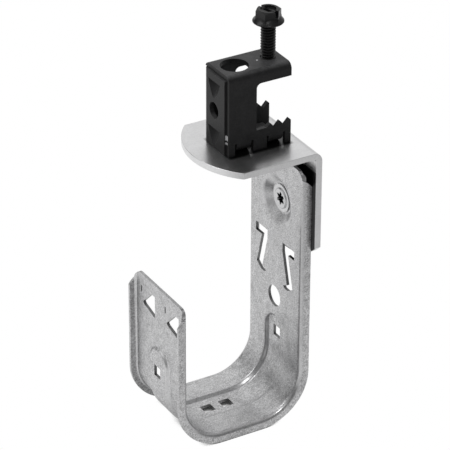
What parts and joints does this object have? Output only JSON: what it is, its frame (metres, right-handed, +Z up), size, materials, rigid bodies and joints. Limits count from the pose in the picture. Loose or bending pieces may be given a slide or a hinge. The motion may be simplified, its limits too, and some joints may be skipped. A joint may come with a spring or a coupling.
{
  "type": "j hook cable support with beam clamp",
  "caption": "Folded steel J hook riveted to an angle bracket under a toothed beam clamp with a clamping screw; carries cable bundles below a beam flange.",
  "frame": {"origin": "on the clamp screw's axis, level with the tips of the jaw teeth, midway between the two jaw panels", "axes": "+Z up along the screw, +X from the hook's front leg to its rear leg and out of the jaw's mouth, +Y across the hook, along the cables"},
  "size_m": [0.0684, 0.0494, 0.1878],
  "materials": {
    "galvanised_hook": "pre-galvanised sheet, satin with soft mottling",
    "galvanised_bracket": "zinc plated plate, semi bright",
    "black_clamp": "black coated steel, satin",
    "black_screw": "black oxide steel, satin",
    "plated_rivet": "zinc plated steel, semi bright"
  },
  "bodies": {
    "support": {"j_hook": "galvanised_hook", "angle_bracket": "galvanised_bracket", "clamp_body": "black_clamp", "hook_rivet": "plated_rivet", "clamp_rivet": "plated_rivet"},
    "screw": {"clamp_screw": "black_screw"}
  },
  "joints": [
    {"name": "screw_travel", "type": "slide", "parent": "support", "child": "screw", "axis": [0, 0, -1], "range_m": [-0.006, 0.0159]}
  ]
}
